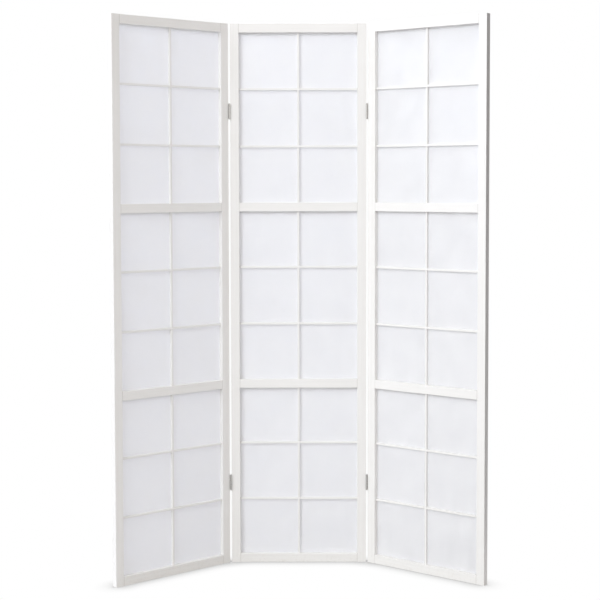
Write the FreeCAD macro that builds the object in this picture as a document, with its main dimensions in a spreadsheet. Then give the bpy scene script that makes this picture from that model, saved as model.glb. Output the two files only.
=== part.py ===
import FreeCAD, Part
import os
import re

import Sketcher
from FreeCAD import Placement, Rotation, Vector

# A three-panel folding screen.  Each panel is a wooden frame with three
# openings.  Every opening holds a light lattice, a sheet of paper behind it and
# four slips that keep the paper in its rebate.  Two-way hinges join the panels,
# so that a side panel can swing to the front or to the back.
#
# +Z is up, +X is to the right and +Y is to the back.  The origin lies on the
# floor under the middle of the centre panel.  A panel is drawn standing on the
# origin and is then placed, and the side panels stand folded to the front.

SHEET = "Sizes"

# Driving dimensions, in millimetres and degrees.
SIZES = {
    "panel_height": 1778.0,
    "panel_width": 445.0,
    "panel_thickness": 20.0,
    "stile_width": 28.5,
    "rail_height": 28.5,
    "arris": 0.8,
    "muntin_width": 6.5,
    "muntin_depth": 8.0,
    "muntin_arris": 0.4,
    "tenon_length": 5.0,
    "tenon_shoulder": 3.0,
    "paper_setback": 15.0,
    "paper_thickness": 0.3,
    "rebate_width": 6.0,
    "fit_clearance": 0.1,
    "dowel_diameter": 6.0,
    "dowel_length": 36.0,
    "dowel_spacing": 14.0,
    "joint_gap": 4.0,
    "left_fold": 40.0,
    "right_fold": 38.0,
    "upper_hinge_drop": 285.0,
    "lower_hinge_rise": 268.0,
    "hinge_height": 50.0,
    "plate_thickness": 1.0,
    "plate_setback": 2.0,
    "barrel_diameter": 6.0,
    "barrel_clearance": 0.3,
    "knuckle_gap": 0.3,
    "pin_diameter": 3.0,
    "pin_clearance": 0.05,
    "pin_head_diameter": 4.6,
    "pin_head_height": 0.9,
    "screw_diameter": 2.8,
    "screw_head_diameter": 4.8,
    "screw_length": 16.0,
    "screw_pitch": 17.0,
    "screw_stagger": 3.5,
    "screw_clearance": 0.05,
}

RAILS = ("bottom_rail", "lower_mid_rail", "upper_mid_rail", "top_rail")
SECTIONS = ("lower", "middle", "upper")
BARS_PER_SECTION = 2
SCREWS_PER_LEAF = 3
LEFT, CENTRE, RIGHT = -1, 0, 1
FRONT, BACK = -1, 1
PANELS = {"left_panel": LEFT, "centre_panel": CENTRE, "right_panel": RIGHT}
SIDE_NAMES = {LEFT: "left", RIGHT: "right"}
PIN_SIDES = {"front": FRONT, "back": BACK}
FOLDS = {LEFT: "left_fold", RIGHT: "right_fold"}

QUARTER_TURN = 90.0
# Least cosine between two directions that count as parallel.
PARALLEL = 0.99

# Derived sizes, as formulas of the driving ones.
OPENING_WIDTH = "(panel_width - 2 * stile_width)"
HALF_OPENING = f"({OPENING_WIDTH} / 2)"
SECTION_HEIGHT = f"((panel_height - {len(RAILS)} * rail_height) / {len(SECTIONS)})"
PANE_HEIGHT = f"(({SECTION_HEIGHT} - {BARS_PER_SECTION} * muntin_width) / {BARS_PER_SECTION + 1})"
FRONT_FACE = "(-panel_thickness / 2)"
PAPER_FACE = "(paper_setback - panel_thickness / 2)"
LATTICE_FACE = f"({PAPER_FACE} - muntin_depth)"
TENON_FACE = f"({LATTICE_FACE} + tenon_shoulder)"
LAP_FACE = f"({LATTICE_FACE} + muntin_depth / 2)"
NOTCH_FACE = f"({TENON_FACE} - fit_clearance)"
NOTCH_LENGTH = "(tenon_length + fit_clearance)"
NOTCH_WIDTH = "(muntin_width + 2 * fit_clearance)"
PAPER_LAP = "(rebate_width - fit_clearance)"
DOWEL_RADIUS = "(dowel_diameter / 2)"
DOWEL_HOLE_RADIUS = f"({DOWEL_RADIUS} + fit_clearance)"
DOWEL_HOLE_DEPTH = "(dowel_length / 2 + fit_clearance)"
JOINT_REACH = "(panel_width / 2 + joint_gap / 2)"
PIN_REACH = "(panel_thickness / 2 + barrel_clearance + barrel_diameter / 2)"
HINGE_FOOT = "(-hinge_height / 2)"
KNUCKLE_HEIGHT = "((hinge_height - 2 * knuckle_gap) / 3)"
BARREL_RADIUS = "(barrel_diameter / 2)"
BORE_RADIUS = "(pin_diameter / 2 + pin_clearance)"
SCREW_RADIUS = "(screw_diameter / 2)"
SCREW_HEAD_RADIUS = "(screw_head_diameter / 2)"
PILOT_RADIUS = f"({SCREW_RADIUS} + screw_clearance)"
COUNTERSINK_RADIUS = f"({SCREW_HEAD_RADIUS} + screw_clearance)"
HINGES = {
    "upper": "(panel_height - upper_hinge_drop)",
    "lower": "lower_hinge_rise",
}

doc = FreeCAD.newDocument("FoldingScreen")
nodes = []


def fill_sheet():
    """Write every driving dimension into the spreadsheet, with its alias."""
    sheet = doc.addObject("Spreadsheet::Sheet", SHEET)
    for row, (alias, size) in enumerate(SIZES.items(), start=1):
        sheet.set(f"A{row}", alias)
        sheet.set(f"B{row}", str(size))
        sheet.setAlias(f"B{row}", alias)
    doc.recompute()


def bind(target, path, formula):
    """Make a property follow a formula of the driving dimensions."""
    cells = re.sub(
        r"[a-z]\w+",
        lambda word: f"{SHEET}.{word[0]}" if word[0] in SIZES else word[0],
        formula,
    )
    target.setExpression(path, cells)


def bind_base(target, x, y, z):
    """Make the position of an object follow three formulas."""
    for letter, formula in zip("xyz", (x, y, z)):
        bind(target, f"Placement.Base.{letter}", formula)


# --- sketches and solid features ---------------------------------------------


def add_body(label):
    """New body for one wooden piece, kept as a node."""
    body = doc.addObject("PartDesign::Body", label)
    nodes.append(body)
    return body


def add_sketch(body, name, role, offset):
    """Sketch on one of the body's own origin planes, moved along its normal."""
    plane = next(item for item in body.Origin.OriginFeatures if item.Role == role)
    sketch = body.newObject("Sketcher::SketchObject", f"{body.Name}_{name}")
    sketch.AttachmentSupport = [(plane, "")]
    sketch.MapMode = "FlatFace"
    bind(sketch, "AttachmentOffset.Base.z", offset)
    return sketch


def constrain(sketch, kind, ends, formula):
    """Dimension whose value follows a formula."""
    number = sketch.addConstraint(Sketcher.Constraint(kind, *ends, 1.0))
    bind(sketch, f"Constraints[{number}]", formula)


def add_rectangle(sketch, left, bottom, width, height):
    """Rectangle given by its lower left corner and its two sides."""
    corners = [Vector(0, 0, 0), Vector(1, 0, 0), Vector(1, 1, 0), Vector(0, 1, 0)]
    first = sketch.GeometryCount
    for start, end in zip(corners, corners[1:] + corners[:1]):
        sketch.addGeometry(Part.LineSegment(start, end), False)
    sides = range(first, first + 4)
    for side, following in zip(sides, (*sides[1:], sides[0])):
        sketch.addConstraint(Sketcher.Constraint("Coincident", side, 2, following, 1))
    lower_side, right_side, upper_side, left_side = sides
    for side in (lower_side, upper_side):
        sketch.addConstraint(Sketcher.Constraint("Horizontal", side))
    for side in (right_side, left_side):
        sketch.addConstraint(Sketcher.Constraint("Vertical", side))
    constrain(sketch, "DistanceX", (-1, 1, lower_side, 1), left)
    constrain(sketch, "DistanceY", (-1, 1, lower_side, 1), bottom)
    constrain(sketch, "DistanceX", (lower_side, 1, lower_side, 2), width)
    constrain(sketch, "DistanceY", (right_side, 1, right_side, 2), height)


def add_circle(sketch, across, up, radius):
    """Circle given by its centre and radius."""
    circle = sketch.addGeometry(Part.Circle(Vector(1, 1, 0), Vector(0, 0, 1), 1), False)
    constrain(sketch, "DistanceX", (-1, 1, circle, 3), across)
    constrain(sketch, "DistanceY", (-1, 1, circle, 3), up)
    constrain(sketch, "Radius", (circle,), radius)


def add_pad(body, sketch, length):
    """Solid raised from a sketch along its normal."""
    pad = body.newObject("PartDesign::Pad", f"{body.Name}_blank")
    pad.Profile = sketch
    bind(pad, "Length", length)
    sketch.Visibility = False
    return pad


def cut_through(body, sketch, along_normal):
    """Cut a sketch out of the body, from its plane to one side without end."""
    pocket = body.newObject("PartDesign::Pocket", f"{sketch.Name}_cut")
    pocket.Profile = sketch
    pocket.Type = "ThroughAll"
    pocket.Reversed = along_normal
    return pocket


def cut_depth(body, sketch, depth, along_normal):
    """Cut a sketch out of the body, from its plane to a depth."""
    pocket = body.newObject("PartDesign::Pocket", f"{sketch.Name}_cut")
    pocket.Profile = sketch
    pocket.Reversed = along_normal
    bind(pocket, "Length", depth)
    return pocket


def round_long_edges(body, pad, axis, radius, front_only=False):
    """Ease the edges of a blank that run along an axis."""
    doc.recompute()
    box = pad.Shape.BoundBox
    names = []
    for number, edge in enumerate(pad.Shape.Edges, start=1):
        runs_along = abs(edge.tangentAt(edge.FirstParameter).dot(axis)) > PARALLEL
        at_front = edge.CenterOfMass.y < box.Center.y
        if runs_along and (at_front or not front_only):
            names.append(f"Edge{number}")
    fillet = body.newObject("PartDesign::Fillet", f"{body.Name}_arris")
    fillet.Base = (pad, names)
    bind(fillet, "Radius", radius)


# --- placing -------------------------------------------------------------------


def place(node, side, reach, height, folded=True):
    """Put a node where it stands.

    side tells which joint or panel it belongs to.  reach is the distance from
    the joint to the node's own origin, measured outwards along a straight
    screen.  A folded node is turned to the front about the joint's front pin.
    """
    if side == CENTRE:
        bind_base(node, "0", "0", height)
        return
    if not folded:
        bind_base(node, f"{side} * {JOINT_REACH}", "0", height)
        return
    fold = FOLDS[side]
    across = f"{side} * ({JOINT_REACH} + {reach} * cos({fold}) + {PIN_REACH} * sin({fold}))"
    depth = f"{PIN_REACH} * cos({fold}) - {PIN_REACH} - {reach} * sin({fold})"
    node.Placement = Placement(Vector(), Rotation(Vector(0, 0, 1), 1))
    bind_base(node, across, depth, height)
    bind(node, "Placement.Rotation.Angle", f"{-side} * {fold}")


def place_in_panel(node, panel, height="0"):
    """Put a node that is drawn in its panel's frame."""
    place(node, PANELS[panel], JOINT_REACH, height)


# --- heights along a panel -----------------------------------------------------


def rail_bottom(index):
    """Height of a rail's lower face."""
    return f"({index} * ({SECTION_HEIGHT} + rail_height))"


def section_bottom(index):
    """Height of an opening's lower edge."""
    return f"({rail_bottom(index)} + rail_height)"


def bar_bottom(section, bar):
    """Height of a horizontal bar's lower face."""
    return f"({section_bottom(section)} + {bar + 1} * {PANE_HEIGHT} + {bar} * muntin_width)"


def dowel_rises():
    """Heights of the two dowels above the lower face of their rail."""
    return [f"(rail_height / 2 + {sign} * dowel_spacing / 2)" for sign in (-1, 1)]


def dowel_heights(rail):
    """Heights of the two dowels at each end of a rail, above the floor."""
    return [f"({rail_bottom(rail)} + {rise})" for rise in dowel_rises()]


def screw_places(pin_side):
    """Depth and height of a leaf's screws about the middle of the hinge."""
    places = []
    for index in range(SCREWS_PER_LEAF):
        stagger = 1 if index % 2 else -1
        step = index - (SCREWS_PER_LEAF - 1) / 2
        depth = f"({pin_side} * (plate_setback / 2 + {stagger} * screw_stagger))"
        places.append((depth, f"({step} * screw_pitch)"))
    return places


# --- wooden pieces -------------------------------------------------------------


def add_stile(panel, side):
    """Upright of a frame, on the left or right of its panel."""
    body = add_body(f"{panel}_{SIDE_NAMES[side]}_stile")
    inner = f"({side} * {HALF_OPENING})"
    outer = f"({side} * panel_width / 2)"
    section = add_sketch(body, "section", "XY_Plane", "0")
    left = outer if side == LEFT else inner
    add_rectangle(section, left, FRONT_FACE, "stile_width", "panel_thickness")
    pad = add_pad(body, section, "panel_height")
    round_long_edges(body, pad, Vector(0, 0, 1), "arris")

    rebates = add_sketch(body, "rebates", "XZ_Plane", f"-{PAPER_FACE}")
    rebate_left = f"({inner} - rebate_width)" if side == LEFT else inner
    rebate_height = f"({SECTION_HEIGHT} + 2 * rebate_width)"
    for index in range(len(SECTIONS)):
        bottom = f"({section_bottom(index)} - rebate_width)"
        add_rectangle(rebates, rebate_left, bottom, "rebate_width", rebate_height)
    cut_through(body, rebates, along_normal=False)

    notches = add_sketch(body, "notches", "XZ_Plane", f"-{NOTCH_FACE}")
    notch_left = f"({inner} - {NOTCH_LENGTH})" if side == LEFT else inner
    for index in range(len(SECTIONS)):
        for bar in range(BARS_PER_SECTION):
            bottom = f"({bar_bottom(index, bar)} - fit_clearance)"
            add_rectangle(notches, notch_left, bottom, NOTCH_LENGTH, NOTCH_WIDTH)
    cut_through(body, notches, along_normal=False)

    holes = add_sketch(body, "dowel_holes", "YZ_Plane", inner)
    for rail in range(len(RAILS)):
        for height in dowel_heights(rail):
            add_circle(holes, "0", height, DOWEL_HOLE_RADIUS)
    cut_depth(body, holes, DOWEL_HOLE_DEPTH, along_normal=side == RIGHT)

    carries_hinges = PANELS[panel] in (CENTRE, -side)
    if carries_hinges:
        pin_side = FRONT if PANELS[panel] == CENTRE else BACK
        pilots = add_sketch(body, "screw_holes", "YZ_Plane", outer)
        for middle in HINGES.values():
            for depth, height in screw_places(pin_side):
                add_circle(pilots, depth, f"{middle} + {height}", PILOT_RADIUS)
        cut_depth(body, pilots, "screw_length", along_normal=side == LEFT)
    place_in_panel(body, panel)


def add_rail(panel, index):
    """Cross member between the stiles, with a rebate along each opening."""
    body = add_body(f"{panel}_{RAILS[index]}")
    section = add_sketch(body, "section", "YZ_Plane", f"-{HALF_OPENING}")
    add_rectangle(section, FRONT_FACE, "0", "panel_thickness", "rail_height")
    pad = add_pad(body, section, OPENING_WIDTH)
    round_long_edges(body, pad, Vector(1, 0, 0), "arris")

    rebates = add_sketch(body, "rebates", "XZ_Plane", f"-{PAPER_FACE}")
    notches = add_sketch(body, "notches", "XZ_Plane", f"-{NOTCH_FACE}")
    opening_below = index > 0
    opening_above = index < len(SECTIONS)
    if opening_below:
        add_rectangle(rebates, f"-{HALF_OPENING}", "0", OPENING_WIDTH, "rebate_width")
        add_rectangle(notches, f"-{NOTCH_WIDTH} / 2", "0", NOTCH_WIDTH, NOTCH_LENGTH)
    if opening_above:
        ledge = "(rail_height - rebate_width)"
        notch_bottom = f"(rail_height - {NOTCH_LENGTH})"
        add_rectangle(rebates, f"-{HALF_OPENING}", ledge, OPENING_WIDTH, "rebate_width")
        add_rectangle(notches, f"-{NOTCH_WIDTH} / 2", notch_bottom, NOTCH_WIDTH, NOTCH_LENGTH)
    cut_through(body, rebates, along_normal=False)
    cut_through(body, notches, along_normal=False)

    for side in (LEFT, RIGHT):
        holes = add_sketch(body, f"{SIDE_NAMES[side]}_holes", "YZ_Plane", f"{side} * {HALF_OPENING}")
        for height in dowel_rises():
            add_circle(holes, "0", height, DOWEL_HOLE_RADIUS)
        cut_depth(body, holes, DOWEL_HOLE_DEPTH, along_normal=side == LEFT)
    place_in_panel(body, panel, rail_bottom(index))


def add_upright_bar(panel, index):
    """Vertical lattice bar of one opening, lapped behind the horizontal ones."""
    body = doc.addObject("PartDesign::Body", f"{panel}_{SECTIONS[index]}_upright_bar")
    section = add_sketch(body, "section", "XY_Plane", "-tenon_length")
    add_rectangle(section, "-muntin_width / 2", LATTICE_FACE, "muntin_width", "muntin_depth")
    pad = add_pad(body, section, f"{SECTION_HEIGHT} + 2 * tenon_length")
    round_long_edges(body, pad, Vector(0, 0, 1), "muntin_arris", front_only=True)

    shoulders = add_sketch(body, "shoulders", "XZ_Plane", f"-{TENON_FACE}")
    for bottom in ("-tenon_length", SECTION_HEIGHT):
        add_rectangle(shoulders, "-muntin_width / 2", bottom, "muntin_width", "tenon_length")
    cut_through(body, shoulders, along_normal=True)

    laps = add_sketch(body, "laps", "XZ_Plane", f"-{LAP_FACE}")
    for bar in range(BARS_PER_SECTION):
        bottom = f"({bar + 1} * {PANE_HEIGHT} + {bar} * muntin_width)"
        add_rectangle(laps, "-muntin_width / 2", bottom, "muntin_width", "muntin_width")
    cut_through(body, laps, along_normal=True)
    bind(body, "Placement.Base.z", section_bottom(index))
    return body


def add_level_bar(panel, index, bar):
    """Horizontal lattice bar, lapped in front of the vertical one."""
    body = doc.addObject("PartDesign::Body", f"{panel}_{SECTIONS[index]}_level_bar_{bar + 1}")
    left_end = f"-{HALF_OPENING} - tenon_length"
    section = add_sketch(body, "section", "YZ_Plane", left_end)
    add_rectangle(section, LATTICE_FACE, "0", "muntin_depth", "muntin_width")
    pad = add_pad(body, section, f"{OPENING_WIDTH} + 2 * tenon_length")
    round_long_edges(body, pad, Vector(1, 0, 0), "muntin_arris", front_only=True)

    shoulders = add_sketch(body, "shoulders", "XZ_Plane", f"-{TENON_FACE}")
    for left in (left_end, HALF_OPENING):
        add_rectangle(shoulders, left, "0", "tenon_length", "muntin_width")
    cut_through(body, shoulders, along_normal=True)

    lap = add_sketch(body, "lap", "XZ_Plane", f"-{LAP_FACE}")
    add_rectangle(lap, "-muntin_width / 2", "0", "muntin_width", "muntin_width")
    cut_through(body, lap, along_normal=False)
    bind(body, "Placement.Base.z", bar_bottom(index, bar))
    return body


# --- primitives ----------------------------------------------------------------


def along_x(toward):
    """Turn that lays an upright shape along X, towards +X for 1 and -X for -1."""
    return Rotation(Vector(0, 1, 0), QUARTER_TURN * toward)


def add_box(name, corner, size):
    """Box given by its lowest corner and its three sides, as formulas."""
    box = doc.addObject("Part::Box", name)
    for edge, formula in zip(("Length", "Width", "Height"), size):
        bind(box, edge, formula)
    bind_base(box, *corner)
    return box


def add_cylinder(name, base, radius, height, turn=None):
    """Cylinder given by the centre of its base, upright unless it is turned."""
    cylinder = doc.addObject("Part::Cylinder", name)
    if turn:
        cylinder.Placement = Placement(Vector(), turn)
    bind(cylinder, "Radius", radius)
    bind(cylinder, "Height", height)
    bind_base(cylinder, *base)
    return cylinder


def add_cone(name, base, first_radius, second_radius, height, turn):
    """Cone from its first radius at the base to its second radius."""
    cone = doc.addObject("Part::Cone", name)
    cone.Placement = Placement(Vector(), turn)
    bind(cone, "Radius1", first_radius)
    bind(cone, "Radius2", second_radius)
    bind(cone, "Height", height)
    bind_base(cone, *base)
    return cone


def join(name, shapes):
    """One solid from several that overlap."""
    fuse = doc.addObject("Part::MultiFuse", name)
    fuse.Shapes = shapes
    fuse.Refine = True
    return fuse


def cut(name, base, tools):
    """Base with all the tools taken out of it."""
    if len(tools) == 1:
        tool = tools[0]
    else:
        tool = join(f"{name}_tools", tools)
        tool.Refine = False
    difference = doc.addObject("Part::Cut", name)
    difference.Base = base
    difference.Tool = tool
    return difference


def group(name, members):
    """Node that holds several like pieces as separate solids."""
    compound = doc.addObject("Part::Compound", name)
    compound.Links = members
    nodes.append(compound)
    return compound


# --- the panels' smaller pieces --------------------------------------------------


def add_paper(panel, index):
    """Sheet that covers one opening, lying on the ledge of the rebates."""
    body = add_body(f"{panel}_{SECTIONS[index]}_paper")
    outline = add_sketch(body, "outline", "XZ_Plane", f"-{PAPER_FACE}")
    width = f"{OPENING_WIDTH} + 2 * {PAPER_LAP}"
    height = f"{SECTION_HEIGHT} + 2 * {PAPER_LAP}"
    add_rectangle(outline, f"-{HALF_OPENING} - {PAPER_LAP}", f"-{PAPER_LAP}", width, height)
    sheet = add_pad(body, outline, "paper_thickness")
    sheet.Reversed = True
    place_in_panel(body, panel, section_bottom(index))


def add_lattice(panel):
    """The upright and the level bars of a panel, each kind as one node."""
    uprights = [add_upright_bar(panel, index) for index in range(len(SECTIONS))]
    levels = [
        add_level_bar(panel, index, bar)
        for index in range(len(SECTIONS))
        for bar in range(BARS_PER_SECTION)
    ]
    place_in_panel(group(f"{panel}_upright_bars", uprights), panel)
    place_in_panel(group(f"{panel}_level_bars", levels), panel)


def add_slips(panel):
    """Strips that hold the paper in the rebates, flush with the back."""
    width = "(rebate_width - 2 * fit_clearance)"
    depth = "(panel_thickness - paper_setback - paper_thickness)"
    front = f"({PAPER_FACE} + paper_thickness)"
    upright_size = (width, depth, f"{SECTION_HEIGHT} + 2 * {PAPER_LAP}")
    level_size = (OPENING_WIDTH, depth, width)
    lefts = {LEFT: f"-{HALF_OPENING} - {PAPER_LAP}", RIGHT: f"{HALF_OPENING} + fit_clearance"}
    slips = []
    for index, section in enumerate(SECTIONS):
        low = f"({section_bottom(index)} - {PAPER_LAP})"
        high = f"({section_bottom(index)} + {SECTION_HEIGHT} + fit_clearance)"
        for side, left in lefts.items():
            name = f"{panel}_{section}_{SIDE_NAMES[side]}_slip"
            slips.append(add_box(name, (left, front, low), upright_size))
        for end, height in (("bottom", low), ("top", high)):
            name = f"{panel}_{section}_{end}_slip"
            slips.append(add_box(name, (f"-{HALF_OPENING}", front, height), level_size))
    place_in_panel(group(f"{panel}_slips", slips), panel)


def add_dowels(panel):
    """Pins that hold the rails to the stiles."""
    dowels = []
    for rail, rail_name in enumerate(RAILS):
        for side in (LEFT, RIGHT):
            for number, height in enumerate(dowel_heights(rail), start=1):
                base = (f"{side} * {HALF_OPENING} - dowel_length / 2", "0", height)
                name = f"{panel}_{rail_name}_{SIDE_NAMES[side]}_dowel_{number}"
                dowels.append(add_cylinder(name, base, DOWEL_RADIUS, "dowel_length", along_x(1)))
    place_in_panel(group(f"{panel}_dowels", dowels), panel)


# --- hinges ----------------------------------------------------------------------


def add_screw(name, seat, depth, height, into):
    """Countersunk screw: its head fills the plate and its shank is in the wood.

    seat is where the head's flat lies across the joint, and into is the
    direction of the shank, 1 for +X and -1 for -X.
    """
    head = add_cone(
        f"{name}_head",
        (seat, depth, height),
        SCREW_HEAD_RADIUS,
        SCREW_RADIUS,
        "plate_thickness",
        along_x(into),
    )
    shank = add_cylinder(
        f"{name}_shank",
        (f"({seat} + {into} * plate_thickness)", depth, height),
        SCREW_RADIUS,
        "screw_length - plate_thickness",
        along_x(into),
    )
    return join(name, [head, shank])


def add_screws(panel):
    """All the hinge screws that go into one panel's stiles."""
    panel_side = PANELS[panel]
    screws = []
    for joint in (LEFT, RIGHT):
        if panel_side not in (CENTRE, joint):
            continue
        into = -joint if panel_side == CENTRE else joint
        pin_side = FRONT if panel_side == CENTRE else BACK
        edge = joint if panel_side == CENTRE else -joint
        seat = f"({edge} * panel_width / 2 - {into} * plate_thickness)"
        for hinge, middle in HINGES.items():
            for number, (depth, height) in enumerate(screw_places(pin_side), start=1):
                name = f"{panel}_{SIDE_NAMES[joint]}_{hinge}_screw_{number}"
                screws.append(add_screw(name, seat, depth, f"{middle} + {height}", into))
    place_in_panel(group(f"{panel}_hinge_screws", screws), panel)


def add_leaf(name, toward, pin_side):
    """Hinge leaf with one knuckle in the middle, about the joint's own centre.

    toward is the side of the gap where the leaf's plate lies, 1 for +X.
    """
    near = "(joint_gap / 2 - plate_thickness)"
    left = near if toward > 0 else "(-joint_gap / 2)"
    plate_depth = "(panel_thickness - plate_setback)"
    plate_front = FRONT_FACE if pin_side == FRONT else f"(panel_thickness / 2 - {plate_depth})"
    plate_size = ("plate_thickness", plate_depth, "hinge_height")
    plate = add_box(f"{name}_plate", (left, plate_front, HINGE_FOOT), plate_size)

    knuckle_base = f"(-{KNUCKLE_HEIGHT} / 2)"
    neck_front = f"(-{PIN_REACH})" if pin_side == FRONT else "(panel_thickness / 2)"
    neck_size = ("plate_thickness", f"({PIN_REACH} - panel_thickness / 2)", KNUCKLE_HEIGHT)
    neck = add_box(f"{name}_neck", (left, neck_front, knuckle_base), neck_size)
    pin_line = ("0", f"{pin_side} * {PIN_REACH}", knuckle_base)
    barrel = add_cylinder(f"{name}_barrel", pin_line, BARREL_RADIUS, KNUCKLE_HEIGHT)

    tools = [add_cylinder(f"{name}_bore", pin_line, BORE_RADIUS, KNUCKLE_HEIGHT)]
    for number, (depth, height) in enumerate(screw_places(pin_side), start=1):
        countersink = add_cone(
            f"{name}_countersink_{number}",
            (f"({toward} * {near})", depth, height),
            COUNTERSINK_RADIUS,
            PILOT_RADIUS,
            "plate_thickness",
            along_x(toward),
        )
        tools.append(countersink)
    leaf = cut(name, join(f"{name}_blank", [plate, neck, barrel]), tools)
    nodes.append(leaf)
    return leaf


def add_link(name):
    """Plate in the middle of the gap that carries the outer knuckles of both pins."""
    plate = add_box(
        f"{name}_plate",
        ("-plate_thickness / 2", f"-{PIN_REACH}", HINGE_FOOT),
        ("plate_thickness", f"2 * {PIN_REACH}", "hinge_height"),
    )
    clear_radius = f"({BARREL_RADIUS} + barrel_clearance)"
    free_height = f"({KNUCKLE_HEIGHT} + 2 * knuckle_gap)"
    knuckle_feet = {"low": HINGE_FOOT, "high": f"(hinge_height / 2 - {KNUCKLE_HEIGHT})"}
    knuckles = []
    tools = []
    for word, pin_side in PIN_SIDES.items():
        depth = f"{pin_side} * {PIN_REACH}"
        for end, foot in knuckle_feet.items():
            knuckle = f"{name}_{word}_{end}_knuckle"
            knuckles.append(add_cylinder(knuckle, ("0", depth, foot), BARREL_RADIUS, KNUCKLE_HEIGHT))
        bore_foot = ("0", depth, HINGE_FOOT)
        tools.append(add_cylinder(f"{name}_{word}_bore", bore_foot, BORE_RADIUS, "hinge_height"))
        notch_foot = ("0", depth, f"(-{free_height} / 2)")
        tools.append(add_cylinder(f"{name}_{word}_notch", notch_foot, clear_radius, free_height))
    link = cut(name, join(f"{name}_blank", [plate, *knuckles]), tools)
    nodes.append(link)
    return link


def add_pins(name):
    """The front and the back pin of a hinge, each with a head at both ends."""
    head_feet = {"low": f"{HINGE_FOOT} - pin_head_height", "high": "hinge_height / 2"}
    pins = []
    for word, pin_side in PIN_SIDES.items():
        depth = f"{pin_side} * {PIN_REACH}"
        shaft_foot = ("0", depth, HINGE_FOOT)
        pieces = [add_cylinder(f"{name}_{word}_shaft", shaft_foot, "pin_diameter / 2", "hinge_height")]
        for end, foot in head_feet.items():
            head = f"{name}_{word}_{end}_head"
            head_foot = ("0", depth, foot)
            pieces.append(add_cylinder(head, head_foot, "pin_head_diameter / 2", "pin_head_height"))
        pins.append(join(f"{name}_{word}", pieces))
    return group(name, pins)


def add_hinge(joint, hinge, middle):
    """Two-way hinge: a leaf on each panel, the link between them and two pins."""
    prefix = f"{SIDE_NAMES[joint]}_{hinge}_hinge"
    inner_leaf = add_leaf(f"{prefix}_centre_leaf", toward=-joint, pin_side=FRONT)
    place(inner_leaf, joint, "0", middle, folded=False)
    outer_leaf = add_leaf(f"{prefix}_side_leaf", toward=joint, pin_side=BACK)
    for node in (outer_leaf, add_link(f"{prefix}_link"), add_pins(f"{prefix}_pins")):
        place(node, joint, "0", middle)


# --- the whole screen --------------------------------------------------------------


def add_panel(panel):
    """All the pieces of one panel."""
    for side in (LEFT, RIGHT):
        add_stile(panel, side)
    for index in range(len(RAILS)):
        add_rail(panel, index)
    add_lattice(panel)
    for index in range(len(SECTIONS)):
        add_paper(panel, index)
    add_slips(panel)
    add_dowels(panel)
    add_screws(panel)


def check_document():
    """Stop if a feature failed, took nothing away, or left a bad shape."""
    for item in doc.Objects:
        failed = {"Invalid", "Error"} & set(item.State)
        if failed:
            raise RuntimeError(f"{item.Name} is {item.State}")
        if item.TypeId in ("PartDesign::Pocket", "PartDesign::Fillet"):
            if item.Shape.Volume >= item.BaseFeature.Shape.Volume:
                raise RuntimeError(f"{item.Name} takes nothing away")
    for node in nodes:
        if node.Shape.isNull() or not node.Shape.isValid():
            raise RuntimeError(f"{node.Name} has a bad shape")


def write_nodes():
    """Write each node to its own file, under its own name."""
    os.makedirs("parts", exist_ok=True)
    for node in nodes:
        node.Shape.exportStep(os.path.join("parts", f"{node.Label}.step"))
        print(f"{node.Label}: {len(node.Shape.Solids)} solids, {node.Shape.Volume / 1000:.2f} cm3")


fill_sheet()
for panel_name in PANELS:
    add_panel(panel_name)
for joint_side in (LEFT, RIGHT):
    for hinge_name, hinge_middle in HINGES.items():
        add_hinge(joint_side, hinge_name, hinge_middle)
doc.recompute()
check_document()
write_nodes()
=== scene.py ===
"""A folding screen of three panels: painted frames and lattices with paper behind them.

The frame's own solids give every wooden and metal piece its shape. This script dresses
them, lays the nine sheets of paper, makes the hinge screws and the brads of the slips,
and sets up the studio. Lengths are in metres.
"""

import logging
import math
from dataclasses import dataclass
from enum import Enum
from typing import Any

import bpy
from bpy.types import Material, Mesh, Node, NodeSocket, NodeTree, Object
from mathutils import Matrix, Vector


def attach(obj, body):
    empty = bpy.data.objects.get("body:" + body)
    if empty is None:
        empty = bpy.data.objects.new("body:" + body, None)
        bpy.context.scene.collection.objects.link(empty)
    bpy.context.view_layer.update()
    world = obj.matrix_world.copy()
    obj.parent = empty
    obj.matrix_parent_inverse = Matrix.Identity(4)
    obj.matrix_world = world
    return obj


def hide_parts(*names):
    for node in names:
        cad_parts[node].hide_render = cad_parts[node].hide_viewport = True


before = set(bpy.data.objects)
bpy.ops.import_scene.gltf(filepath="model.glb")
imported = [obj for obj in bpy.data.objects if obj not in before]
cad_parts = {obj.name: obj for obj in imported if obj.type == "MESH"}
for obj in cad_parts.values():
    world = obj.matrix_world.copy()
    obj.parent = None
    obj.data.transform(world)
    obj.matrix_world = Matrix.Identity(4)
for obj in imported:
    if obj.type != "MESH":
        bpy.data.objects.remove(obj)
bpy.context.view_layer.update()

log = logging.getLogger("screen")

MM = 0.001
SECTIONS = ("lower", "middle", "upper")
RAILS = ("bottom_rail", "lower_mid_rail", "upper_mid_rail", "top_rail")
NOISE_MEAN = 0.5
QUARTER_TURN = math.pi / 2
WHITE = (1.0, 1.0, 1.0)


class Side(Enum):
    """Which panel or joint, by the sign of its X."""

    LEFT = -1
    CENTRE = 0
    RIGHT = 1


class Run(Enum):
    """Which way the grain runs: a pattern's share of its scale on X, Y and Z."""

    UPRIGHT = (1.0, 1.0, 0.025)
    LEVEL = (0.025, 1.0, 1.0)


# --- node trees ---


@dataclass(frozen=True)
class Pattern:
    """A noise: its cells in each metre, its finer layers and their strength."""

    scale: float
    detail: float = 2.0
    roughness: float = 0.5


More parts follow.
